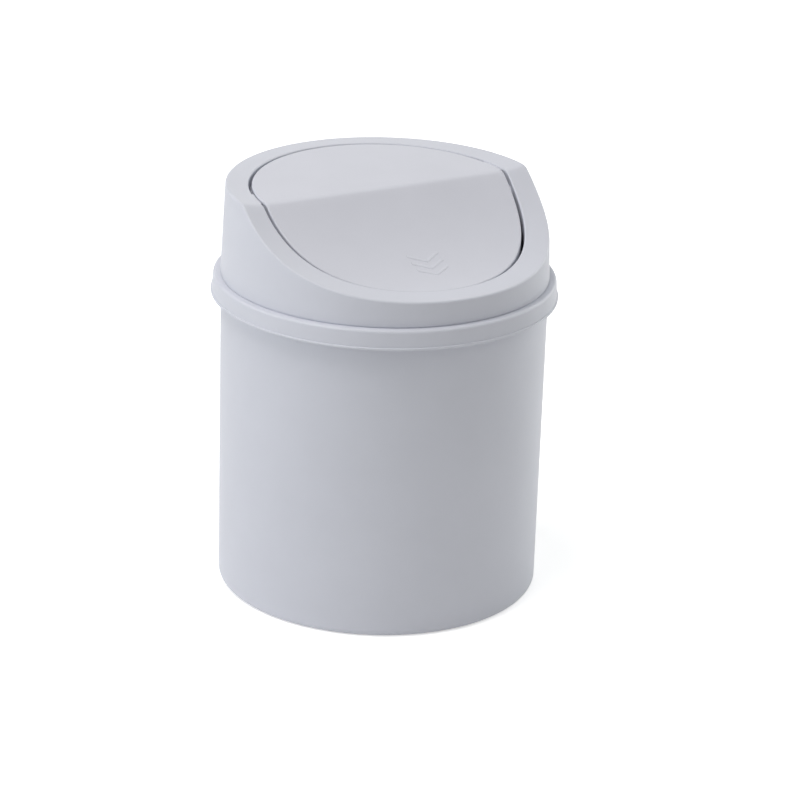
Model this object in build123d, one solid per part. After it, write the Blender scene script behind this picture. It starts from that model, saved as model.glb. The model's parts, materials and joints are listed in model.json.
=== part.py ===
"""Round countertop bin with a lift-off lid and a swinging push flap, in millimetres.

The bin stands on z = 0 with its axis on Z. Its front, where the flap is pushed, faces -Y.
"""

import os
from math import cos, radians, sin, sqrt

from build123d import *

os.makedirs("parts", exist_ok=True)

# Bucket
base_radius = 66.2  # outside, where it stands
mouth_radius = 66.6  # outside of the wall, under the rim
bucket_height = 130.8  # to the top of the rim
bucket_wall = 1.8
bucket_floor = 2.0
foot_recess = 1.2
foot_width = 4.5
foot_round = 2.8
floor_round = 3.0
rim_overhang = 1.7
rim_thickness = 2.0
rim_round = 0.6
rim_lip_depth = 4.5
rim_lip_wall = 1.1

# Collar of the lid, which drops over the rim
rim_clearance = 0.35
collar_wall = 1.55
collar_drop = 6.4  # below the top of the rim
collar_plate = 1.6  # rests on the rim
collar_lean = 0.5  # how far the outside leans in on the way up
collar_round = 1.2
bead_height = 1.1
bead_proud = 0.45
bead_round = 0.4
spigot_clearance = 0.5
spigot_wall = 1.5
spigot_depth = 6.0

# Dome of the lid
dome_step = 3.4  # from the collar's outside in to the dome's foot
dome_rise = 37.6  # from the collar plate up to the rear rim
dome_lean = 1.6  # how far the wall leans in on the way up
dome_wall = 1.8
roof_thickness = 2.0
groove_depth = 0.3  # round the dome's foot
groove_height = 0.45
crest_round = 0.9

# Scooped top: level behind the ridge, and a hollow arc falling to the front
front_rise = 11.5  # lowest point of the arc above the collar plate
scoop_radius = 110.4
scoop_lead = 4.35  # the arc's lowest point lies this far in front of the dome's foot
ridge_radius = 8.5
band_width = 9.3  # rim band between the dome wall and the opening
band_fall = 1.65  # how far the band falls inward
crest_drop = 1.45  # how much less it falls at the front, where the crest is lower
level_band_inset = 2.8  # the band is level again this far in from the rear of the opening
flap_dish = 0.2  # hollow of the flap at the ridge
front_dish = 1.2  # and how much deeper the hollow grows to the front
flap_sink = 1.0  # how far the front of the flap lies below the band
flap_bow = 0.4  # how much sooner it sinks than an even slope would
flap_lift = 0.15  # how far its rear stands above the band

# Opening in the roof
well_depth = 9.0
well_wall = 1.6
opening_round = 0.7

# Flap
flap_gap = 1.3
flap_thickness = 2.0
flap_round = 0.8
skirt_wall = 1.6
rib_wall = 1.6
rib_depth = 6.0
rib_head_gap = 1.0

# Rear seat that the closed flap rests on
seat_drop = 5.6  # below the rear rim
seat_thickness = 1.6
seat_overlap = 0.4  # the ledge reaches this far in past the skirt
seat_start = 12.0  # the ledge begins this far behind the centre

# Guide pads just behind the pivots, which keep the flap centred in the opening
guide_start = 3.5  # behind the centre
guide_end = 14.5
guide_clearance = 0.35  # to the skirt of the flap
guide_drop = 0.5  # below the band
guide_depth = 5.0  # bottom of the pad below the band

# Pivots
pivot_y = -2.5
pin_radius = 1.5
pin_running_clearance = 0.05
pin_end_gap = 0.4
pin_head_radius = 2.6
pin_head_height = 1.2
pin_head_clearance = 0.8  # between the head and the underside of the flap
ear_thickness = 2.8
ear_radius = 4.0
ear_inset = 0.05
boss_gap = 0.4
boss_length = 5.2
boss_radius = 3.0
boss_notch_gap = 0.5  # round the boss, in the skirt of the flap
boss_end_wall = 1.2

# Stop leg on each ear, and the lug that it meets when the flap is fully open
open_angle = 62.0
leg_length = 9.5
leg_width = 5.0
lug_height = 4.8
lug_length = 3.5
lug_clearance = 0.3

# Raised push mark on the front of the flap
mark_height = 0.2
mark_stroke = 1.5
mark_half_width = 7.0
mark_fall = 4.0
mark_pitch = 4.2
mark_count = 3
mark_y = -34.3

# Worked-out sizes
plate_top = bucket_height + collar_plate
bin_height = plate_top + dome_rise
rim_radius = mouth_radius + rim_overhang
rim_bottom = bucket_height - rim_thickness
inner_floor = foot_recess + bucket_floor
collar_bottom = bucket_height - collar_drop
collar_inner = rim_radius + rim_clearance
collar_outer = collar_inner + collar_wall
spigot_outer = mouth_radius - bucket_wall - spigot_clearance
spigot_inner = spigot_outer - spigot_wall
dome_foot = collar_outer - dome_step
dome_top = dome_foot - dome_lean
opening_radius = dome_top - band_width
well_middle = opening_radius + well_wall / 2
flap_radius = opening_radius - flap_gap
scoop_y = -(dome_foot + scoop_lead)
scoop_z = plate_top + front_rise + scoop_radius
level_band_y = opening_radius - level_band_inset
seat_height = bin_height - seat_drop
ear_outer = sqrt(flap_radius**2 - (abs(pivot_y) + ear_radius) ** 2) - ear_inset
ear_inner = ear_outer - ear_thickness
boss_start = ear_outer + boss_gap
boss_end = opening_radius + boss_length
bore_end = boss_end - boss_end_wall
pin_end = bore_end - pin_end_gap
leg_face = leg_width / 2 + lug_clearance
lug_back = (leg_face + lug_height) * cos(radians(open_angle)) + leg_length * sin(radians(open_angle))
reach = 1.15 * collar_outer  # half-width of anything that must pass right across the lid
headroom = 2 * dome_rise  # height of anything that must pass right over the lid
patch_columns = 4
patch_rows = 8
patch_overlap = 12.0  # each patch of the top runs this far past the ridge


def band_depth(x, y):
    """How far the rim band lies below the plain plane or arc."""
    inward = (dome_top**2 - x * x - y * y) / (dome_top**2 - opening_radius**2)
    forward = -min(y, 0) / dome_top
    return band_fall * inward + crest_drop * forward * (1 - inward)


def flap_depth(x, y):
    """How far the flap lies below the plain plane or arc, matching the band at the sides and rear."""
    forward = -min(y, 0) / opening_radius
    dish = (flap_dish + front_dish * forward) * (1 - (x * x + y * y) / opening_radius**2)
    return band_fall + dish + flap_sink * forward * (1 + flap_bow * (1 - forward))


def rear_height(x, y, depth):
    """Height of the top behind the ridge, level again at the rear of the opening."""
    return bin_height - depth(x, y) * (1 - y / level_band_y)


def front_height(x, y, depth):
    """Height of the top in front of the ridge."""
    return scoop_z - sqrt(scoop_radius**2 - (y - scoop_y) ** 2) - depth(x, y)


pivot_slope = (pivot_y - scoop_y) / sqrt(scoop_radius**2 - (pivot_y - scoop_y) ** 2)
pivot_cover = flap_thickness + (pin_head_radius + pin_head_clearance) * sqrt(1 + pivot_slope**2)
top_over_pivot = min(height(ear_outer, pivot_y, flap_depth) for height in (front_height, rear_height))
pivot_z = top_over_pivot - pivot_cover
seat_edge_x = sqrt(flap_radius**2 - seat_start**2)
skirt_depth = rear_height(seat_edge_x, seat_start, flap_depth) + flap_lift - seat_height


def patch(height, depth, lift, y_start, y_end):
    """Smooth face through a grid of heights, wider than the lid."""
    rows = []
    for column in range(patch_columns + 1):
        x = reach * (2 * column / patch_columns - 1)
        row = []
        for step in range(patch_rows + 1):
            y = y_start + (y_end - y_start) * step / patch_rows
            row.append(Vector(x, y, height(x, y, depth) + lift))
        rows.append(row)
    return Face.make_surface_from_array_of_points(rows, tol=0.01, min_deg=3, max_deg=5)


def space_above(depth, rear_lift=0.0):
    """All the space over a scooped top, with its ridge rounded."""
    front = patch(front_height, depth, 0, -reach, patch_overlap)
    rear = patch(rear_height, depth, rear_lift, -patch_overlap, reach)
    space = extrude(front, amount=headroom, dir=(0, 0, 1))
    space += extrude(rear, amount=headroom, dir=(0, 0, 1))
    ridge = space.edges().sort_by_distance((0, 0, bin_height))[0]
    return fillet(ridge, ridge_radius)


def flap_space():
    return space_above(flap_depth, flap_lift)


def lowered(space, drop):
    return Pos(0, 0, -drop) * space


def wavy_edges(solid, geometry):
    """Edges where a cylinder or cone face of the solid runs into the scooped top."""
    side = solid.faces().filter_by(geometry).sort_by(SortBy.AREA)[-1]
    return [edge for edge in side.edges() if edge.geom_type not in (GeomType.CIRCLE, GeomType.LINE)]


def disc(radius, bottom, height):
    return Pos(0, 0, bottom + height / 2) * Cylinder(radius, height)


def tube(outer, inner, bottom, height):
    return disc(outer, bottom, height) - disc(inner, bottom, height)


def turned(points, rounds):
    """Solid of revolution from an outline of (radius, height) points.

    rounds lists (radius, height, rounding) for the corners that are rounded.
    """
    outline = make_face(Polyline(*points, close=True).edges())
    for radius, height, rounding in rounds:
        corner = outline.vertices().sort_by_distance((radius, height, 0))[0]
        outline = fillet(corner, rounding)
    return revolve(Plane.XZ * outline, Axis.Z)


def x_cylinder(radius, x_start, x_end):
    """Cylinder along the pivot axis."""
    middle = (x_start + x_end) / 2
    return Pos(middle, pivot_y, pivot_z) * Rot(0, 90, 0) * Cylinder(radius, x_end - x_start)


def block(x_range, y_range, z_range):
    """Box between pairs of limits."""
    ranges = (x_range, y_range, z_range)
    size = [high - low for low, high in ranges]
    middle = [(high + low) / 2 for low, high in ranges]
    return Pos(*middle) * Box(*size)


def both_sides(piece):
    """The piece and its mirror image across the plane x = 0."""
    return piece + mirror(piece, Plane.YZ)


def make_bucket():
    wall_lean = (mouth_radius - base_radius) / bucket_height
    floor_radius = base_radius + wall_lean * inner_floor - bucket_wall
    lip_inner = rim_radius - rim_lip_wall
    lip_bottom = bucket_height - rim_lip_depth
    points = [
        (0, foot_recess),
        (base_radius - foot_width, foot_recess),
        (base_radius - foot_width, 0),
        (base_radius, 0),
        (mouth_radius, rim_bottom),
        (lip_inner, rim_bottom),
        (lip_inner, lip_bottom),
        (rim_radius, lip_bottom),
        (rim_radius, bucket_height),
        (mouth_radius - bucket_wall, bucket_height),
        (floor_radius, inner_floor),
        (0, inner_floor),
    ]
    rounds = [
        (base_radius, 0, foot_round),
        (rim_radius, bucket_height, rim_round),
        (floor_radius, inner_floor, floor_round),
    ]
    return turned(points, rounds)


def make_collar():
    """Collar, plate and spigot of the lid."""
    bead_outer = collar_outer + bead_proud
    bead_top = collar_bottom + bead_height
    spigot_bottom = bucket_height - spigot_depth
    points = [
        (spigot_inner, spigot_bottom),
        (spigot_outer, spigot_bottom),
        (spigot_outer, bucket_height),
        (collar_inner, bucket_height),
        (collar_inner, collar_bottom),
        (bead_outer, collar_bottom),
        (bead_outer, bead_top),
        (collar_outer, bead_top),
        (collar_outer - collar_lean, plate_top),
        (spigot_inner, plate_top),
    ]
    rounds = [
        (bead_outer, collar_bottom, bead_round),
        (bead_outer, bead_top, bead_round),
        (collar_outer - collar_lean, plate_top, collar_round),
    ]
    return turned(points, rounds)


def make_dome(space):
    """Leaning wall and scooped roof of the lid, with the opening and the wall round it."""
    height = dome_rise * 1.5
    tip = dome_foot - dome_lean * 1.5
    middle = Pos(0, 0, plate_top + height / 2)
    dome = middle * Cone(dome_foot, tip, height) - space
    dome = fillet(wavy_edges(dome, GeomType.CONE), crest_round)
    dome -= tube(reach, dome_foot - groove_depth, plate_top, groove_height)
    dome -= disc(opening_radius, 0, bin_height + headroom)
    dome = fillet(wavy_edges(dome, GeomType.CYLINDER), opening_round)
    hollow = middle * Cone(dome_foot - dome_wall, tip - dome_wall, height)
    hollow -= lowered(space, roof_thickness)
    well = disc(opening_radius + well_wall, plate_top, headroom) & lowered(space, well_depth)
    return dome - (hollow - well)


def make_seat():
    ledge = tube(
        well_middle,
        flap_radius - skirt_wall - seat_overlap,
        seat_height - seat_thickness,
        seat_thickness,
    )
    return ledge & block((-reach, reach), (seat_start, reach), (plate_top, bin_height))


def make_guides(space):
    """Pads on the well wall that fill the gap beside the flap, on both sides."""
    pads = tube(well_middle, flap_radius + guide_clearance, 0, bin_height)
    pads &= block((-reach, reach), (guide_start, guide_end), (plate_top, bin_height))
    pads &= lowered(space, guide_depth)
    return pads - lowered(space, guide_drop)


def make_boss(space):
    """Right pivot boss, on a web that hangs from the roof outside the well wall.

    The web runs on behind the lug, which it carries too.
    """
    sides = (pivot_y - boss_radius, pivot_y + lug_back)
    hanger = block((opening_radius, boss_end), sides, (pivot_z, bin_height))
    hanger -= lowered(space, roof_thickness / 2)
    hanger -= disc(well_middle, plate_top, headroom)
    return hanger + x_cylinder(boss_radius, boss_start, boss_end)


def make_lug():
    """Block inside the well wall that meets the stop leg when the flap is fully open.

    Its top stays clear of the skirt of the closed flap.
    """
    lug = block(
        (ear_inner, well_middle),
        (leg_face, leg_face + lug_height),
        (-leg_length, lug_length - leg_length),
    )
    lug = Pos(0, pivot_y, pivot_z) * Rot(open_angle, 0, 0) * lug
    return lug - lowered(flap_space(), skirt_depth + lug_clearance)


def make_housing():
    space = space_above(band_depth)
    housing = make_dome(space) + make_collar() + make_seat() + make_guides(space)
    housing += both_sides(make_boss(space) + make_lug())
    bore = x_cylinder(pin_radius + pin_running_clearance, ear_outer, bore_end)
    return housing - both_sides(bore)


def make_mark(space):
    """Nested chevrons on the flap that point down the scoop."""
    mark = None
    for count in range(mark_count):
        tip = mark_y - count * mark_pitch
        wing = tip + mark_fall
        corners = [
            (-mark_half_width, wing),
            (0, tip),
            (mark_half_width, wing),
            (mark_half_width, wing + mark_stroke),
            (0, tip + mark_stroke),
            (-mark_half_width, wing + mark_stroke),
        ]
        outline = make_face(Polyline(*corners, close=True).edges())
        stroke = extrude(outline, amount=bin_height)
        mark = stroke if mark is None else mark + stroke
    mark -= lowered(space, -mark_height)
    return mark & lowered(space, flap_thickness / 2)


def make_ear(space):
    """Right ear under the flap, drilled for the pin, with the stop leg below it."""
    across = (ear_inner, ear_outer)
    ear = x_cylinder(ear_radius, ear_inner, ear_outer)
    ear += block(across, (pivot_y - ear_radius, pivot_y + ear_radius), (pivot_z, bin_height))
    leg_sides = (pivot_y - leg_width / 2, pivot_y + leg_width / 2)
    ear += block(across, leg_sides, (pivot_z - leg_length, pivot_z))
    return ear - lowered(space, flap_thickness / 2)


def make_flap():
    space = flap_space()
    flap = disc(flap_radius, 0, bin_height + patch_overlap) - space
    flap = fillet(wavy_edges(flap, GeomType.CYLINDER), flap_round)
    below_skirt = disc(opening_radius, 0, bin_height) - lowered(space, skirt_depth)
    below_skirt &= block((-reach, reach), (-reach, seat_start), (0, bin_height))
    below_skirt += block((-reach, reach), (seat_start, reach), (0, seat_height))
    hollow = disc(flap_radius - skirt_wall, 0, bin_height)
    hollow -= lowered(space, flap_thickness)
    rib_end = ear_inner - pin_head_height - rib_head_gap
    rib_sides = (pivot_y - rib_wall / 2, pivot_y + rib_wall / 2)
    rib = block((-rib_end, rib_end), rib_sides, (0, bin_height))
    rib &= lowered(space, rib_depth)
    flap -= hollow - rib
    flap -= below_skirt - rib
    flap += both_sides(make_ear(space))
    flap += make_mark(space)
    notch = x_cylinder(boss_radius + boss_notch_gap, ear_outer, boss_end)
    return flap - both_sides(x_cylinder(pin_radius, ear_inner, ear_outer) + notch)


def make_pin():
    """Headed pin, pressed into the right ear and turning in the right boss."""
    pin = x_cylinder(pin_radius, ear_inner, pin_end)
    return pin + x_cylinder(pin_head_radius, ear_inner - pin_head_height, ear_inner)


pin_right = make_pin()
pieces = {
    "bucket": make_bucket(),
    "lid_housing": make_housing(),
    "push_flap": make_flap(),
    "pivot_pin_right": pin_right,
    "pivot_pin_left": mirror(pin_right, Plane.YZ),
}

for name, piece in pieces.items():
    export_step(piece, f"parts/{name}.step")
    print(name, "volume", round(piece.volume, 1), "solids", len(piece.solids()))
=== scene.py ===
import json
from math import asin, atan, atan2, cos, hypot, pi, radians, sin, sqrt, tan

import bmesh
import bpy
from mathutils import Matrix, Vector


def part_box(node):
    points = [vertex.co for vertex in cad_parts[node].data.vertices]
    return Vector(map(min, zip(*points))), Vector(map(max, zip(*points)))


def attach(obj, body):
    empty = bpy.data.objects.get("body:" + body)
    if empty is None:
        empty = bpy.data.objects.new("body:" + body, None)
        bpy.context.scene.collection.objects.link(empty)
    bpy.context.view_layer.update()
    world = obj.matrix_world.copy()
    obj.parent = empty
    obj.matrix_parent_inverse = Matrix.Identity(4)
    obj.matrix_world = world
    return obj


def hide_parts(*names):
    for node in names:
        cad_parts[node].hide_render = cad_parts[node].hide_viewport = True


# Push top countertop bin: a tub, a lift-off lid with a scooped top, and the flap that swings in it.
# Lengths in the dictionaries are millimetres. The bin's front faces -Y and its axis is Z.

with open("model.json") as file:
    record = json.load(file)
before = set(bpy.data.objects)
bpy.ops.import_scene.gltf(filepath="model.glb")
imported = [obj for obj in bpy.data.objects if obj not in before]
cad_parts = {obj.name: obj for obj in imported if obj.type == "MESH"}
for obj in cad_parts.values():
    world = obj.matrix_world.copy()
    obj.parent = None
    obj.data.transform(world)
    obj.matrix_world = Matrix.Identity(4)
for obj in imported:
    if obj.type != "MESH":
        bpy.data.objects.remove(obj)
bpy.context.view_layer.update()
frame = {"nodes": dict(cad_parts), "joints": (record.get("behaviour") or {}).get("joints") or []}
mm = 0.001


edgeRounds = {           # small roundings that the tub, the lid and the flap share
    "crisp": 0.1,
    "fine": 0.2,
    "plain": 0.3,
    "soft": 0.4,
}


def roundedOutline(corners, steps=6, hold=0.12, usable=0.9, spare=0.1):
    # corners are (radius, height, rounding); each rounding becomes a small arc
    # with a holding point on either side, and uses no more than most of the sides beside it
    points = []
    count = len(corners)
    for index, (r, z, rounding) in enumerate(corners):
        if rounding <= 0:
            points.append((r, z))
            continue
        before = corners[index - 1]
        after = corners[(index + 1) % count]
        inX, inZ = before[0] - r, before[1] - z
        outX, outZ = after[0] - r, after[1] - z
        inLength, outLength = hypot(inX, inZ), hypot(outX, outZ)
        inX, inZ, outX, outZ = inX / inLength, inZ / inLength, outX / outLength, outZ / outLength
        halfAngle = 0.5 * atan2(abs(inX * outZ - inZ * outX), inX * outX + inZ * outZ)
        room = usable * min(inLength - before[2], outLength - after[2])
        setback = min(rounding / tan(halfAngle), room)
        arcRadius = setback * tan(halfAngle)
        middle = arcRadius / sin(halfAngle)
        sumX, sumZ = inX + outX, inZ + outZ
        scale = middle / hypot(sumX, sumZ)
        centreX, centreZ = r + sumX * scale, z + sumZ * scale
        startX, startZ = r + inX * setback - centreX, z + inZ * setback - centreZ
        endX, endZ = r + outX * setback - centreX, z + outZ * setback - centreZ
        turn = atan2(startX * endZ - startZ * endX, startX * endX + startZ * endZ)
        holdBack = min(hold, spare * room)
        points.append((r + inX * (setback + holdBack), z + inZ * (setback + holdBack)))
        for step in range(steps + 1):
            angle = turn * step / steps
            points.append((centreX + startX * cos(angle) - startZ * sin(angle),
                           centreZ + startX * sin(angle) + startZ * cos(angle)))
        points.append((r + outX * (setback + holdBack), z + outZ * (setback + holdBack)))
    return points


def evenAngles(count):
    return [2 * pi * index / count for index in range(count)]


def ridgeAngles(count, crowding=0.7):
    # closer together at both ends of the ridge, which runs along X
    return [t - 0.5 * crowding * sin(2 * t) for t in evenAngles(count)]


def loft(builder, loops, closed=False):
    # joins each loop of points to the next, and either caps the ends or closes the ring
    rings = [[builder.verts.new((x * mm, y * mm, z * mm)) for x, y, z in loop] for loop in loops]
    pairs = list(zip(rings, rings[1:] + rings[:1])) if closed else list(zip(rings, rings[1:]))
    for ring, following in pairs:
        for spot in range(len(ring)):
            after = (spot + 1) % len(ring)
            builder.faces.new((ring[spot], following[spot], following[after], ring[after]))
    if not closed:
        builder.faces.new(rings[0])
        builder.faces.new(list(reversed(rings[-1])))


def sweptShell(outlineAt, angles):
    # sweeps an outline of (radius, height) points round the axis
    builder = bmesh.new()
    loops = [[(r * cos(angle), r * sin(angle), z) for r, z in outlineAt(angle)] for angle in angles]
    loft(builder, loops, closed=True)
    return builder


def prismAlongX(outline, xStart, xEnd, edge=0.25):
    # outline is a loop of (y, z) points round the middle of the prism; both ends are eased by the edge
    middleY = sum(y for y, z in outline) / len(outline)
    middleZ = sum(z for y, z in outline) / len(outline)
    reach = max(hypot(y - middleY, z - middleZ) for y, z in outline)
    side = 1 if xEnd > xStart else -1
    sections = []
    for x, inset in ((xStart, edge), (xStart + side * edge, 0), (xEnd - side * edge, 0), (xEnd, edge)):
        scale = 1 - inset / reach
        sections.append([(x, middleY + (y - middleY) * scale, middleZ + (z - middleZ) * scale)
                         for y, z in outline])
    builder = bmesh.new()
    loft(builder, sections)
    return builder


def solidFrom(name, builder):
    # closes the mesh, turns its faces outward and puts it in the scene
    bmesh.ops.remove_doubles(builder, verts=builder.verts, dist=1e-7)
    bmesh.ops.dissolve_degenerate(builder, edges=builder.edges, dist=1e-8)
    bmesh.ops.recalc_face_normals(builder, faces=builder.faces)
    mesh = bpy.data.meshes.new(name)
    builder.to_mesh(mesh)
    builder.free()
    solid = bpy.data.objects.new(name, mesh)
    bpy.context.scene.collection.objects.link(solid)
    return solid


def combined(solid, builder, operation="UNION"):
    # adds the second solid to the first, or cuts it away
    tool = solidFrom(solid.name + "Tool", builder)
    step = solid.modifiers.new("combine", "BOOLEAN")
    step.operation = operation
    step.solver = "MANIFOLD"
    step.object = tool
    depsgraph = bpy.context.evaluated_depsgraph_get()
    mesh = bpy.data.meshes.new_from_object(solid.evaluated_get(depsgraph))
    solid.modifiers.clear()
    before = solid.data
    solid.data = mesh
    bpy.data.meshes.remove(before)
    leftover = tool.data
    bpy.data.objects.remove(tool)
    bpy.data.meshes.remove(leftover)


def mirrored(builder):
    # the same solid on the other side of the plane x = 0
    other = builder.copy()
    bmesh.ops.scale(other, vec=(-1, 1, 1), verts=other.verts)
    return other


def finishedPiece(solid, name, material, body, nodes, crispAngle=38):
    # smooth shading with crisp joints, its plastic, and its seat on a body in place of the plain nodes
    solid.name = name
    solid.data.name = name
    for face in solid.data.polygons:
        face.use_smooth = True
    solid.data.set_sharp_from_angle(angle=radians(crispAngle))
    solid.data.materials.clear()
    solid.data.materials.append(material)
    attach(solid, body)
    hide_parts(*nodes)
    print(name, "made with", len(solid.data.vertices), "points")
    return solid


plastics = {
    "shellColour": (0.602, 0.618, 0.681),  # cool light grey
    "flapColour": (0.6, 0.612, 0.674),
    "pinColour": (0.78, 0.77, 0.73),
    "roughness": (0.44, 0.52),
    "pinRoughness": (0.32, 0.4),
    "refraction": 1.49,
    "tint": 0.018,        # how far the cloudy tone drifts either way
    "cloudSize": 38.0,
    "cloudNoise": (3.0, 0.55),  # detail and roughness
    "grainSize": 0.8,     # spark-eroded mould grain
    "grainNoise": (2.0, 0.6),
    "grainDepth": 0.03,
    "pinGrainDepth": 0.009,
    "waveSize": 16.0,     # the faint unevenness of a thin moulded wall
    "waveNoise": (1.0, 0.4),
    "waveDepth": 0.035,
    "noiseEnds": (0.3, 0.7),  # most of a noise lies between these
}


def mouldedPlastic(name, colour, roughness, grainDepth):
    material = bpy.data.materials.new(name)
    material.use_nodes = True
    tree = material.node_tree
    tree.nodes.clear()
    output = tree.nodes.new("ShaderNodeOutputMaterial")
    shader = tree.nodes.new("ShaderNodeBsdfPrincipled")
    tree.links.new(shader.outputs["BSDF"], output.inputs["Surface"])
    shader.inputs["IOR"].default_value = plastics["refraction"]
    place = tree.nodes.new("ShaderNodeTexCoord")
    lowEnd, highEnd = plastics["noiseEnds"]

    def noise(size, settings):
        detail, roughen = settings
        texture = tree.nodes.new("ShaderNodeTexNoise")
        texture.inputs["Scale"].default_value = 1 / (size * mm)
        texture.inputs["Detail"].default_value = detail
        texture.inputs["Roughness"].default_value = roughen
        tree.links.new(place.outputs["Object"], texture.inputs["Vector"])
        return texture.outputs["Fac"]

    clouds = noise(plastics["cloudSize"], plastics["cloudNoise"])
    tone = tree.nodes.new("ShaderNodeValToRGB")
    tone.color_ramp.elements[0].position = lowEnd
    tone.color_ramp.elements[1].position = highEnd
    tone.color_ramp.elements[0].color = (*[c * (1 - plastics["tint"]) for c in colour], 1)
    tone.color_ramp.elements[1].color = (*[c * (1 + plastics["tint"]) for c in colour], 1)
    tree.links.new(clouds, tone.inputs["Fac"])
    tree.links.new(tone.outputs["Color"], shader.inputs["Base Color"])

    grain = noise(plastics["grainSize"], plastics["grainNoise"])
    gloss = tree.nodes.new("ShaderNodeMapRange")
    gloss.inputs["From Min"].default_value = lowEnd
    gloss.inputs["From Max"].default_value = highEnd
    gloss.inputs["To Min"].default_value = roughness[0]
    gloss.inputs["To Max"].default_value = roughness[1]
    tree.links.new(grain, gloss.inputs["Value"])
    tree.links.new(gloss.outputs["Result"], shader.inputs["Roughness"])

    wave = tree.nodes.new("ShaderNodeBump")
    wave.inputs["Strength"].default_value = 1.0
    wave.inputs["Distance"].default_value = plastics["waveDepth"] * mm
    tree.links.new(noise(plastics["waveSize"], plastics["waveNoise"]), wave.inputs["Height"])
    relief = tree.nodes.new("ShaderNodeBump")
    relief.inputs["Strength"].default_value = 1.0
    relief.inputs["Distance"].default_value = grainDepth * mm
    tree.links.new(grain, relief.inputs["Height"])
    tree.links.new(wave.outputs["Normal"], relief.inputs["Normal"])
    tree.links.new(relief.outputs["Normal"], shader.inputs["Normal"])
    return material


shellPlastic = mouldedPlastic("shellPlastic", plastics["shellColour"],
                              plastics["roughness"], plastics["grainDepth"])
flapPlastic = mouldedPlastic("flapPlastic", plastics["flapColour"],
                             plastics["roughness"], plastics["grainDepth"])
pinPlastic = mouldedPlastic("pinPlastic", plastics["pinColour"],
                            plastics["pinRoughness"], plastics["pinGrainDepth"])
print("plastics mixed")


tub = {
    "baseRadius": 66.2,
    "wall": 1.8,
    "floor": 2.0,
    "footRecess": 1.2,
    "footWidth": 4.5,
    "footRound": 2.8,
    "recessRound": 0.5,
    "floorRound": 3.0,
    "rimOverhang": 1.7,
    "rimThickness": 2.0,
    "rimRound": 0.6,
    "lipDepth": 4.5,
    "lipWall": 1.1,
    "segments": 256,
    "wallSteps": 14,
    "floorShares": (0.1, 0.35, 0.6, 0.85),  # rings of the floor, from the middle outward
}

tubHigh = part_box("bucket")[1]
tubHeight = tubHigh.z / mm
rimRadius = tubHigh.x / mm
mouthRadius = rimRadius - tub["rimOverhang"]


def tubOutline(angle):
    rimBottom = tubHeight - tub["rimThickness"]
    lipInner = rimRadius - tub["lipWall"]
    lipBottom = tubHeight - tub["lipDepth"]
    innerFloor = tub["footRecess"] + tub["floor"]
    footInner = tub["baseRadius"] - tub["footWidth"]
    lean = (mouthRadius - tub["baseRadius"]) / rimBottom
    floorRadius = tub["baseRadius"] + lean * innerFloor - tub["wall"]
    wallUp = [(tub["baseRadius"] + lean * rimBottom * step / tub["wallSteps"],
               rimBottom * step / tub["wallSteps"], 0) for step in range(1, tub["wallSteps"])]
    innerTop = mouthRadius - tub["wall"]
    wallDown = [(innerTop + (floorRadius - innerTop) * step / tub["wallSteps"],
                 tubHeight + (innerFloor - tubHeight) * step / tub["wallSteps"], 0)
                for step in range(1, tub["wallSteps"])]
    corners = [(0, tub["footRecess"], 0)]
    corners += [(footInner * share, tub["footRecess"], 0) for share in tub["floorShares"]]
    corners += [
        (footInner, tub["footRecess"], tub["recessRound"]),
        (footInner, 0, edgeRounds["soft"]),
        (tub["baseRadius"], 0, tub["footRound"]),
        *wallUp,
        (mouthRadius, rimBottom, edgeRounds["fine"]),
        (lipInner, rimBottom, edgeRounds["fine"]),
        (lipInner, lipBottom, edgeRounds["plain"]),
        (rimRadius, lipBottom, edgeRounds["plain"]),
        (rimRadius, tubHeight, tub["rimRound"]),
        (innerTop, tubHeight, edgeRounds["soft"]),
        *wallDown,
        (floorRadius, innerFloor, tub["floorRound"]),
    ]
    corners += [(floorRadius * share, innerFloor, 0) for share in reversed(tub["floorShares"])]
    corners += [(0, innerFloor, 0)]
    return roundedOutline(corners)


def makeTub():
    solid = solidFrom("tubShell", sweptShell(tubOutline, evenAngles(tub["segments"])))
    finishedPiece(solid, "tub", shellPlastic, "bucket", ["bucket"])


makeTub()


# the scooped top and the fit of the flap in it, shared by the lid and the flap
scoop = {
    "plate": 1.6,        # collar plate over the tub's rim
    "domeRise": 37.6,    # from the plate up to the rear rim
    "domeLean": 1.6,
    "radius": 110.4,     # of the hollow arc
    "frontRise": 11.5,   # its lowest point above the plate
    "lead": 4.35,        # and how far that lies in front of the dome's foot
    "softness": 1.1,     # rounds the ridge
    "bandWidth": 9.3,
    "bandFall": 1.65,
    "crestDrop": 1.45,   # how much less the band falls at the front
    "levelInset": 2.8,   # the fall fades out this far inside the opening's rear edge
    "flapGap": 1.3,      # clearance round the flap
    "skirtWall": 1.6,    # the flap's turned-down edge
    "flapDish": 0.2,     # hollow of the flap at the ridge
    "frontDish": 1.2,    # and how much deeper it grows towards the front
    "flapSink": 1.0,     # how far the front of the flap lies below the band
    "flapBow": 0.4,      # how much sooner it sinks than an even slope would
    "flapLift": 0.15,    # how far its rear stands above it
}

collar = {
    "beadProud": 0.45,
    "beadHeight": 1.1,
    "beadRound": 0.4,
    "beadCorner": 0.12,  # where the bead meets the collar
    "clearance": 0.35,   # round the tub's rim
    "lean": 0.5,
    "cornerRound": 1.2,
    "footStep": 3.4,
    "grooveDepth": 0.3,  # shadow line at the dome's foot
    "grooveHeight": 0.45,
    "grooveRound": 0.15,
    "spigotGap": 0.5,
    "spigotWall": 1.5,
    "spigotDepth": 6.0,
}

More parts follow.
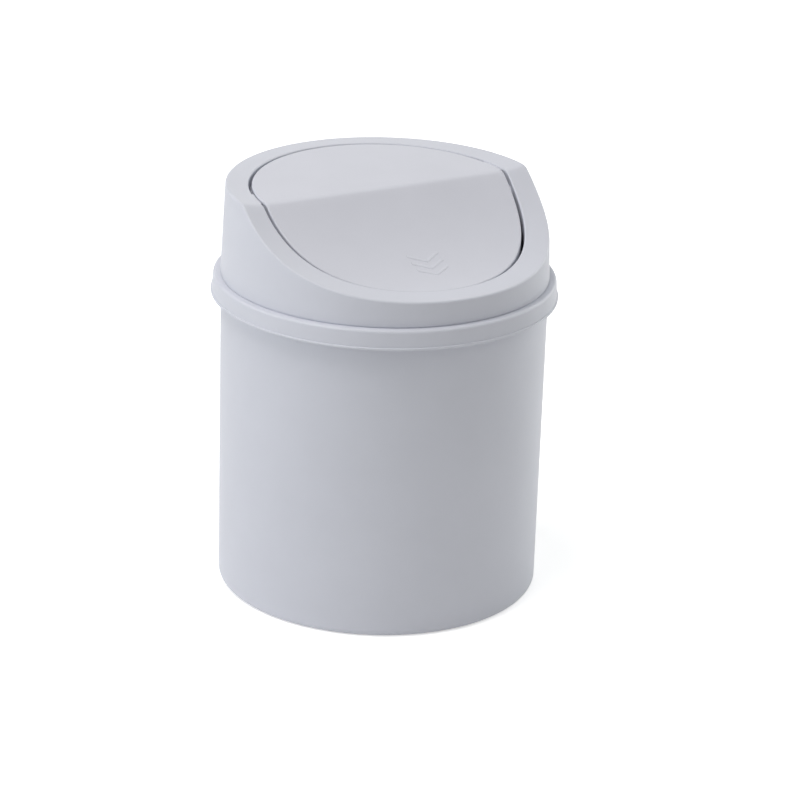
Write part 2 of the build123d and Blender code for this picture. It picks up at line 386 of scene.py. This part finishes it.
lidLow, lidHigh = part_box("lid_housing")
lidBottom = lidLow.z / mm
beadRadius = lidHigh.x / mm
plateTop = tubHeight + scoop["plate"]
rearHeight = plateTop + scoop["domeRise"]
collarRadius = beadRadius - collar["beadProud"]
domeFoot = collarRadius - collar["footStep"]
domeTop = domeFoot - scoop["domeLean"]
openingRadius = domeTop - scoop["bandWidth"]
scoopY = -(domeFoot + scoop["lead"])
scoopZ = plateTop + scoop["frontRise"] + scoop["radius"]
levelY = openingRadius - scoop["levelInset"]


def bandDepth(r, y):
    inward = (domeTop ** 2 - r * r) / (domeTop ** 2 - openingRadius ** 2)
    forward = max(-y, 0) / domeTop
    return scoop["bandFall"] * inward + scoop["crestDrop"] * forward * (1 - inward)


def flapDepth(r, y):
    forward = max(-y, 0) / openingRadius
    dish = (scoop["flapDish"] + scoop["frontDish"] * forward) * (1 - r * r / openingRadius ** 2)
    return scoop["bandFall"] + dish + scoop["flapSink"] * forward * (1 + scoop["flapBow"] * (1 - forward))


def topHeight(r, angle, depth, lift=0):
    # level behind the ridge, a hollow arc in front of it, and softly joined
    y = r * sin(angle)
    rear = rearHeight + lift - depth(r, y) * (1 - y / levelY)
    front = scoopZ - sqrt(max(scoop["radius"] ** 2 - (y - scoopY) ** 2, 0)) - depth(r, y)
    return 0.5 * (rear + front - sqrt((rear - front) ** 2 + scoop["softness"] ** 2))


def bandHeight(r, angle):
    return topHeight(r, angle, bandDepth)


def flapHeight(r, angle):
    return topHeight(r, angle, flapDepth, scoop["flapLift"])


def bandAt(x, y):
    return bandHeight(hypot(x, y), atan2(y, x))


def flapAt(x, y):
    return flapHeight(hypot(x, y), atan2(y, x))


swing = next(joint for joint in frame["joints"] if joint["name"] == "flap_swing")
pivotY = swing["pos_m"][1] / mm
pivotZ = swing["pos_m"][2] / mm
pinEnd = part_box("pivot_pin_right")[1].x / mm

pivot = {
    "earThickness": 2.8,
    "earRadius": 4.0,
    "earInset": 0.05,
    "legWidth": 5.0,
    "legLength": 9.5,
    "earSteps": 8,
    "bossRadius": 3.0,
    "bossGap": 0.5,
    "bossLength": 5.2,
    "bossSides": 24,
    "boreRadius": 1.55,
    "boreLead": 1.0,     # its cutter starts this far inside the ear's outer face
    "boreEndGap": 0.4,
    "boreSides": 32,
    "notchGap": 0.5,     # room round the boss in the flap's skirt
    "notchSides": 48,
    "cutterEdge": 0.1,
    "openAngle": 62.0,
    "lugGap": 0.3,
    "lugHeight": 4.8,
    "lugLength": 3.5,
    "webSteps": 12,
    "webBite": 0.4,      # how far the web reaches into the well wall
}

flapRadius = openingRadius - scoop["flapGap"]
earOuter = sqrt(flapRadius ** 2 - (abs(pivotY) + pivot["earRadius"]) ** 2) - pivot["earInset"]
earInner = earOuter - pivot["earThickness"]


def arcPoints(radius, startDegrees, endDegrees, steps):
    # points of an arc round the pivot axis, measured from +Y towards +Z
    angles = [radians(startDegrees + (endDegrees - startDegrees) * step / steps)
              for step in range(steps + 1)]
    return [(pivotY + radius * cos(angle), pivotZ + radius * sin(angle)) for angle in angles]


def circlePoints(radius, sides):
    # points all round the pivot axis
    return arcPoints(radius, 0, 360 * (sides - 1) / sides, sides - 1)


lid = {
    "wall": 1.8,
    "roof": 2.0,
    "crestRound": 0.9,
    "wellDepth": 9.0,
    "wellWall": 1.6,
    "openingRound": 0.7,
    "segments": 480,
    "wallShares": (0.12, 0.24, 0.36, 0.48, 0.6),
    "bandShares": (0.4, 0.52, 0.64, 0.76, 0.88),
    "roofSteps": 3,
    "crestPasses": 4,    # enough to find the crest's radius closely
    "seatDrop": 5.6,
    "seatThickness": 1.6,
    "seatOverlap": 0.4,
    "seatStart": 12.0,
    "seatSteps": 96,
    "guideStart": 3.5,
    "guideEnd": 14.5,
    "guideClearance": 0.35,
    "guideRound": 0.25,
    "guideDrop": 0.5,
    "guideDepth": 5.0,
    "guideSteps": 16,
}
wellMiddle = openingRadius + lid["wellWall"] / 2
seatHeight = rearHeight - lid["seatDrop"]


def crestAt(angle):
    # where the leaning wall runs into the scooped top
    lean = scoop["domeLean"] / scoop["domeRise"]
    r = domeTop
    for _ in range(lid["crestPasses"]):
        z = bandHeight(r, angle)
        r = domeFoot - lean * (z - plateTop)
    return r, z


def lidOutline(angle):
    crestR, crestZ = crestAt(angle)
    lean = scoop["domeLean"] / scoop["domeRise"]
    beadTop = lidBottom + collar["beadHeight"]
    collarInner = rimRadius + collar["clearance"]
    spigotOuter = mouthRadius - tub["wall"] - collar["spigotGap"]
    spigotInner = spigotOuter - collar["spigotWall"]
    spigotBottom = tubHeight - collar["spigotDepth"]
    wellOuter = openingRadius + lid["wellWall"]
    wellBottom = bandHeight(openingRadius, angle) - lid["wellDepth"]

    wallUp = []
    for share in lid["wallShares"]:
        z = plateTop + (crestZ - plateTop) * share
        wallUp.append((domeFoot - lean * (z - plateTop), z, 0))

    band = []
    for share in lid["bandShares"]:
        r = crestR + (openingRadius - crestR) * share
        band.append((r, bandHeight(r, angle), 0))

    innerCrestR = crestR - lid["wall"]
    roof = []
    for step in range(lid["roofSteps"] + 1):
        r = wellOuter + (innerCrestR - wellOuter) * step / lid["roofSteps"]
        rounding = edgeRounds["plain"] if step in (0, lid["roofSteps"]) else 0
        roof.append((r, bandHeight(r, angle) - lid["roof"], rounding))

    corners = [
        (collarInner, lidBottom, edgeRounds["fine"]),
        (beadRadius, lidBottom, collar["beadRound"]),
        (beadRadius, beadTop, collar["beadRound"]),
        (collarRadius, beadTop, collar["beadCorner"]),
        (collarRadius - collar["lean"], plateTop, collar["cornerRound"]),
        (domeFoot - collar["grooveDepth"], plateTop, edgeRounds["crisp"]),
        (domeFoot - collar["grooveDepth"], plateTop + collar["grooveHeight"], edgeRounds["crisp"]),
        (domeFoot, plateTop + collar["grooveHeight"], collar["grooveRound"]),
        *wallUp,
        (crestR, crestZ, lid["crestRound"]),
        *band,
        (openingRadius, bandHeight(openingRadius, angle), lid["openingRound"]),
        (openingRadius, wellBottom, edgeRounds["plain"]),
        (wellOuter, wellBottom, edgeRounds["plain"]),
        *roof,
        (domeFoot - lid["wall"], plateTop, edgeRounds["soft"]),
        (spigotInner, plateTop, edgeRounds["plain"]),
        (spigotInner, spigotBottom, edgeRounds["soft"]),
        (spigotOuter, spigotBottom, edgeRounds["soft"]),
        (spigotOuter, tubHeight, edgeRounds["fine"]),
        (collarInner, tubHeight, edgeRounds["fine"]),
    ]
    return roundedOutline(corners)


def seatLedge():
    # the curved ledge at the rear that the closed flap rests on
    inner = flapRadius - scoop["skirtWall"] - lid["seatOverlap"]
    bottom = seatHeight - lid["seatThickness"]
    rounding = edgeRounds["plain"]
    outline = roundedOutline([(inner, bottom, rounding), (wellMiddle, bottom, 0),
                              (wellMiddle, seatHeight, 0), (inner, seatHeight, rounding)], steps=3)
    start = asin(lid["seatStart"] / inner)
    builder = bmesh.new()
    loops = []
    for step in range(lid["seatSteps"] + 1):
        angle = start + (pi - 2 * start) * step / lid["seatSteps"]
        loops.append([(r * cos(angle), r * sin(angle), z) for r, z in outline])
    loft(builder, loops)
    return builder


def guidePad():
    # fills the gap just behind the pivot, to keep the flap centred
    inner = flapRadius + lid["guideClearance"]
    start, end = asin(lid["guideStart"] / inner), asin(lid["guideEnd"] / inner)
    loops = []
    for step in range(lid["guideSteps"] + 1):
        angle = start + (end - start) * step / lid["guideSteps"]
        edgeZ = bandHeight(openingRadius, angle)
        bottom, top = edgeZ - lid["guideDepth"], edgeZ - lid["guideDrop"]
        outline = roundedOutline([(inner, bottom, 0), (wellMiddle, bottom, 0),
                                  (wellMiddle, top, 0), (inner, top, lid["guideRound"])], steps=3)
        loops.append([(r * cos(angle), r * sin(angle), z) for r, z in outline])
    builder = bmesh.new()
    loft(builder, loops)
    return builder


def pivotBoss():
    # round boss that reaches through the well wall towards the ear
    outline = circlePoints(pivot["bossRadius"], pivot["bossSides"])
    return prismAlongX(outline, earOuter + pivot["bossGap"], openingRadius + pivot["bossLength"])


def bossWeb():
    # web outside the well wall that carries the boss and the lug from the roof
    turn = radians(pivot["openAngle"])
    lugTop = pivot["legWidth"] / 2 + pivot["lugGap"] + pivot["lugHeight"]
    front = pivotY - pivot["bossRadius"]
    back = pivotY + lugTop * cos(turn) + pivot["legLength"] * sin(turn)
    outline = []
    for step in range(pivot["webSteps"] + 1):
        y = back + (front - back) * step / pivot["webSteps"]
        outline.append((y, bandAt(openingRadius, y) - lid["roof"] / 2))
    outline += [(front, pivotZ), (back, pivotZ)]
    return prismAlongX(outline, wellMiddle - pivot["webBite"], openingRadius + pivot["bossLength"])


def stopLug():
    # block inside the well wall that the stop leg meets when the flap is fully open
    near = pivot["legWidth"] / 2 + pivot["lugGap"]
    top = pivot["lugLength"] - pivot["legLength"]
    corners = [(near, -pivot["legLength"]), (near + pivot["lugHeight"], -pivot["legLength"]),
               (near + pivot["lugHeight"], top), (near, top)]
    turn = radians(pivot["openAngle"])
    outline = [(pivotY + y * cos(turn) - z * sin(turn), pivotZ + y * sin(turn) + z * cos(turn))
               for y, z in corners]
    return prismAlongX(outline, earInner, wellMiddle)


def makeLid():
    solid = solidFrom("lidShell", sweptShell(lidOutline, ridgeAngles(lid["segments"])))
    combined(solid, seatLedge())
    boreEnd = pinEnd + pivot["boreEndGap"]
    bore = prismAlongX(circlePoints(pivot["boreRadius"], pivot["boreSides"]),
                       earOuter - pivot["boreLead"], boreEnd, pivot["cutterEdge"])
    for addition in (guidePad(), bossWeb(), pivotBoss(), stopLug()):
        combined(solid, mirrored(addition))
        combined(solid, addition)
    combined(solid, mirrored(bore), "DIFFERENCE")
    combined(solid, bore, "DIFFERENCE")
    finishedPiece(solid, "lid", shellPlastic, "lid", ["lid_housing"])


makeLid()


flap = {
    "thickness": 2.0,
    "edgeRound": 0.8,
    "segments": 480,
    "fineRings": 12,
    "fineStep": 0.6,
    "coarseStep": 2.4,
    "ribWall": 1.6,
    "ribDepth": 6.0,
    "ribEnd": 2.2,       # short of the ears, clear of the pin heads
    "ribSteps": 24,
}

pushMark = {             # raised chevrons that point down the scoop
    "height": 0.16,
    "stroke": 1.5,
    "halfWidth": 7.0,
    "fall": 4.0,         # from the tip back to the wing ends
    "pitch": 4.2,
    "count": 3,
    "firstTip": -34.3,
    "shoulder": 0.4,     # share of the height at the stroke's edges
    "crown": 0.75,       # share of the stroke that stands at full height
    "root": 0.5,         # share of the flap's thickness that it reaches down
    "steps": 10,
}

seatEdgeX = sqrt(flapRadius ** 2 - lid["seatStart"] ** 2)
skirtDepth = flapAt(seatEdgeX, lid["seatStart"]) - seatHeight


def ringRadii(outermost):
    radii = [flap["fineStep"] * index for index in range(flap["fineRings"])]
    count = int((outermost - radii[-1]) / flap["coarseStep"])
    gap = (outermost - radii[-1]) / (count + 1)
    return radii + [radii[-1] + gap * index for index in range(1, count + 1)]


def flapOutline(angle):
    skirtInner = flapRadius - scoop["skirtWall"]
    edgeZ = flapHeight(flapRadius, angle)
    bottom = edgeZ - skirtDepth
    if flapRadius * sin(angle) > lid["seatStart"]:
        bottom = seatHeight
    corners = [(r, flapHeight(r, angle), 0) for r in ringRadii(flapRadius)]
    corners += [
        (flapRadius, edgeZ, flap["edgeRound"]),
        (flapRadius, bottom, edgeRounds["plain"]),
        (skirtInner, bottom, edgeRounds["plain"]),
        (skirtInner, flapHeight(skirtInner, angle) - flap["thickness"], edgeRounds["soft"]),
    ]
    corners += [(r, flapHeight(r, angle) - flap["thickness"], 0)
                for r in reversed(ringRadii(skirtInner))]
    return roundedOutline(corners)


def stiffeningRib():
    # runs under the flap along the pivot line
    half = flap["ribWall"] / 2
    end = earInner - flap["ribEnd"]
    loops = []
    for step in range(flap["ribSteps"] + 1):
        x = end * (2 * step / flap["ribSteps"] - 1)
        top = flapAt(x, pivotY) - flap["thickness"] / 2
        bottom = flapAt(x, pivotY) - flap["ribDepth"]
        loops.append([(x, pivotY - half, top), (x, pivotY + half, top),
                      (x, pivotY + half, bottom), (x, pivotY - half, bottom)])
    builder = bmesh.new()
    loft(builder, loops)
    return builder


def ear():
    # carries the pin, with the stop leg below it
    radius = pivot["earRadius"]
    halfLeg = pivot["legWidth"] / 2
    legEdge = 90 - asin(halfLeg / radius) * 180 / pi
    outline = [(y, flapAt(earInner, y) - flap["thickness"] / 2)
               for y in (pivotY + radius, pivotY - radius)]
    outline += arcPoints(radius, 180, 180 + legEdge, pivot["earSteps"])
    outline += [(y, pivotZ - pivot["legLength"]) for y in (pivotY - halfLeg, pivotY + halfLeg)]
    outline += arcPoints(radius, 360 - legEdge, 360, pivot["earSteps"])
    return prismAlongX(outline, earInner, earOuter)


def chevron(tipY):
    # raised stroke that follows the flap's surface, from one wing over the tip to the other
    half = pushMark["stroke"] / 2
    foot = -pushMark["root"] * flap["thickness"]
    shoulder = pushMark["shoulder"] * pushMark["height"]
    crown = pushMark["crown"] * half
    section = [(-half, foot), (-half, shoulder), (-crown, pushMark["height"]),
               (crown, pushMark["height"]), (half, shoulder), (half, foot)]
    loops = []
    for step in range(-pushMark["steps"], pushMark["steps"] + 1):
        x = pushMark["halfWidth"] * step / pushMark["steps"]
        y = tipY + half + pushMark["fall"] * abs(step) / pushMark["steps"]
        loops.append([(x, y + across, flapAt(x, y + across) + up) for across, up in section])
    builder = bmesh.new()
    loft(builder, loops)
    return builder


def makeFlap():
    solid = solidFrom("flapShell", sweptShell(flapOutline, ridgeAngles(flap["segments"])))
    combined(solid, stiffeningRib())
    combined(solid, mirrored(ear()))
    combined(solid, ear())
    notchRadius = pivot["bossRadius"] + pivot["notchGap"]
    notch = prismAlongX(circlePoints(notchRadius, pivot["notchSides"]),
                        earOuter, openingRadius, pivot["cutterEdge"])
    combined(solid, mirrored(notch), "DIFFERENCE")
    combined(solid, notch, "DIFFERENCE")
    for index in range(pushMark["count"]):
        combined(solid, chevron(pushMark["firstTip"] - index * pushMark["pitch"]))
    finishedPiece(solid, "flap", flapPlastic, "flap", ["push_flap"])


makeFlap()
for pinName in ("pivot_pin_left", "pivot_pin_right"):
    pin = frame["nodes"][pinName]
    pin.data.materials.clear()
    pin.data.materials.append(pinPlastic)
print("pins dressed")


view = {
    "imageSize": 800,
    "sensor": 36.0,
    "focalPixels": 3300,
    "distance": 1355.0,
    "azimuth": -29.6,
    "elevation": 20.71,
    "roll": -1.727,
    "targetHeight": 91.95,
    "aimPixels": (-18.8, -34.29),  # where the axis lies from the middle of the picture
    "farEnd": 50000.0,
}


def aimed(azimuth, elevation):
    # direction from the bin, turned about it from the front
    a, e = radians(azimuth), radians(elevation)
    return Vector((sin(a) * cos(e), -cos(a) * cos(e), sin(e)))


def placed(outward, distance):
    # a spot that far from the middle of the bin
    return Vector((0, 0, view["targetHeight"] * mm)) + outward * distance * mm


def makeCamera():
    outward = aimed(view["azimuth"], view["elevation"])
    forward = -outward
    right = forward.cross(Vector((0, 0, 1))).normalized()
    up = right.cross(forward)
    panPixels, tiltPixels = view["aimPixels"]
    turns = Matrix.Rotation(atan(panPixels / view["focalPixels"]), 3, up)
    forward, right = turns @ forward, turns @ right
    turns = Matrix.Rotation(atan(tiltPixels / view["focalPixels"]), 3, right)
    forward, up = turns @ forward, turns @ up
    turns = Matrix.Rotation(radians(view["roll"]), 3, forward)
    right, up = turns @ right, turns @ up
    lens = bpy.data.cameras.new("viewCamera")
    lens.sensor_width = view["sensor"]
    lens.lens = view["focalPixels"] * view["sensor"] / view["imageSize"]
    lens.clip_end = view["farEnd"] * mm
    camera = bpy.data.objects.new("viewCamera", lens)
    axes = Matrix((right, up, -forward)).transposed()
    camera.matrix_world = Matrix.Translation(placed(outward, view["distance"])) @ axes.to_4x4()
    bpy.context.scene.collection.objects.link(camera)
    bpy.context.scene.camera = camera


lighting = {
    "distance": 1600.0,
    "size": 1000.0,
    "ambient": 0.2,      # soft light from all round
}

coolLight = (0.955, 1.0, 1.03)
plainLight = (0.96, 1.0, 0.97)
warmLight = (1.035, 1.0, 0.98)

lamps = {                # each a soft disc that faces the bin; azimuths run from the front, power in watts
    "high": {"azimuth": -90, "elevation": 70, "power": 13.1, "colour": warmLight},
    "highFront": {"azimuth": -30, "elevation": 70, "power": 0.8, "colour": warmLight},
    "left": {"azimuth": -85, "elevation": 20, "power": 3.8, "colour": coolLight},
    "rearLeft": {"azimuth": -115, "elevation": 20, "power": 4.2, "colour": coolLight},
    "back": {"azimuth": 150, "elevation": 50, "power": 0.9, "colour": plainLight},
    "rearRight": {"azimuth": 100, "elevation": 20, "power": 7.8, "colour": plainLight},
    "right": {"azimuth": 65, "elevation": 20, "power": 1.6, "colour": warmLight},
    "frontRight": {"azimuth": 20, "elevation": 50, "power": 1.5, "colour": plainLight},
}


def makeLamp(name, settings):
    lamp = bpy.data.lights.new(name, "AREA")
    lamp.shape = "DISK"
    lamp.size = lighting["size"] * mm
    lamp.energy = settings["power"]
    lamp.color = settings["colour"]
    holder = bpy.data.objects.new(name, lamp)
    outward = aimed(settings["azimuth"], settings["elevation"])
    holder.location = placed(outward, lighting["distance"])
    holder.rotation_euler = outward.to_track_quat("Z", "Y").to_euler()
    bpy.context.scene.collection.objects.link(holder)


def seenWhite(tree):
    # one where the camera, a reflection or a clear piece looks at it
    path = tree.nodes.new("ShaderNodeLightPath")
    total = path.outputs["Is Camera Ray"]
    for kind in ("Is Glossy Ray", "Is Transmission Ray"):
        adder = tree.nodes.new("ShaderNodeMath")
        adder.operation = "MAXIMUM"
        tree.links.new(total, adder.inputs[0])
        tree.links.new(path.outputs[kind], adder.inputs[1])
        total = adder.outputs[0]
    return total


paper = {                # the floor
    "halfWidth": 4000.0,
    "drop": 0.05,        # a hair below the foot
    "colour": (0.9, 0.9, 0.9),
    "roughness": 0.9,
    "glow": 0.5,         # round the bin, where the paper keeps its shadow
    "fadeStart": 600.0,  # it brightens to plain white between these distances
    "fadeEnd": 1800.0,
}


def makeFloor():
    half, height = paper["halfWidth"] * mm, -paper["drop"] * mm
    mesh = bpy.data.meshes.new("studioFloor")
    corners = [(-half, -half), (half, -half), (half, half), (-half, half)]
    mesh.from_pydata([(x, y, height) for x, y in corners], [], [(0, 1, 2, 3)])
    floor = bpy.data.objects.new("studioFloor", mesh)
    bpy.context.scene.collection.objects.link(floor)
    material = bpy.data.materials.new("floorPaper")
    material.use_nodes = True
    tree = material.node_tree
    shader = tree.nodes["Principled BSDF"]
    shader.inputs["Base Color"].default_value = (*paper["colour"], 1)
    shader.inputs["Roughness"].default_value = paper["roughness"]
    glow = tree.nodes.new("ShaderNodeEmission")
    place = tree.nodes.new("ShaderNodeNewGeometry")
    distance = tree.nodes.new("ShaderNodeVectorMath")
    distance.operation = "LENGTH"
    fade = tree.nodes.new("ShaderNodeMapRange")
    fade.inputs["From Min"].default_value = paper["fadeStart"] * mm
    fade.inputs["From Max"].default_value = paper["fadeEnd"] * mm
    fade.inputs["To Min"].default_value = paper["glow"]
    fade.inputs["To Max"].default_value = 1.0
    tree.links.new(place.outputs["Position"], distance.inputs[0])
    tree.links.new(distance.outputs["Value"], fade.inputs["Value"])
    tree.links.new(fade.outputs["Result"], glow.inputs["Strength"])
    dark = tree.nodes.new("ShaderNodeEmission")
    dark.inputs["Strength"].default_value = 0
    pick = tree.nodes.new("ShaderNodeMixShader")
    both = tree.nodes.new("ShaderNodeAddShader")
    tree.links.new(seenWhite(tree), pick.inputs["Fac"])
    tree.links.new(dark.outputs[0], pick.inputs[1])
    tree.links.new(glow.outputs[0], pick.inputs[2])
    tree.links.new(shader.outputs[0], both.inputs[0])
    tree.links.new(pick.outputs[0], both.inputs[1])
    tree.links.new(both.outputs[0], tree.nodes["Material Output"].inputs["Surface"])
    mesh.materials.append(material)


def makeWorld():
    world = bpy.data.worlds.new("studioWorld")
    bpy.context.scene.world = world
    world.use_nodes = True
    tree = world.node_tree
    tree.nodes.clear()
    soft = tree.nodes.new("ShaderNodeBackground")
    soft.inputs["Color"].default_value = (1, 1, 1, 1)
    soft.inputs["Strength"].default_value = lighting["ambient"]
    white = tree.nodes.new("ShaderNodeBackground")
    white.inputs["Strength"].default_value = 1.0
    white.inputs["Color"].default_value = (1, 1, 1, 1)
    pick = tree.nodes.new("ShaderNodeMixShader")
    output = tree.nodes.new("ShaderNodeOutputWorld")
    tree.links.new(seenWhite(tree), pick.inputs["Fac"])
    tree.links.new(soft.outputs[0], pick.inputs[1])
    tree.links.new(white.outputs[0], pick.inputs[2])
    tree.links.new(pick.outputs[0], output.inputs["Surface"])


makeCamera()
for lampName, lampSettings in lamps.items():
    makeLamp(lampName, lampSettings)
makeFloor()
makeWorld()
bpy.context.scene.view_settings.view_transform = "Standard"
print("studio set")
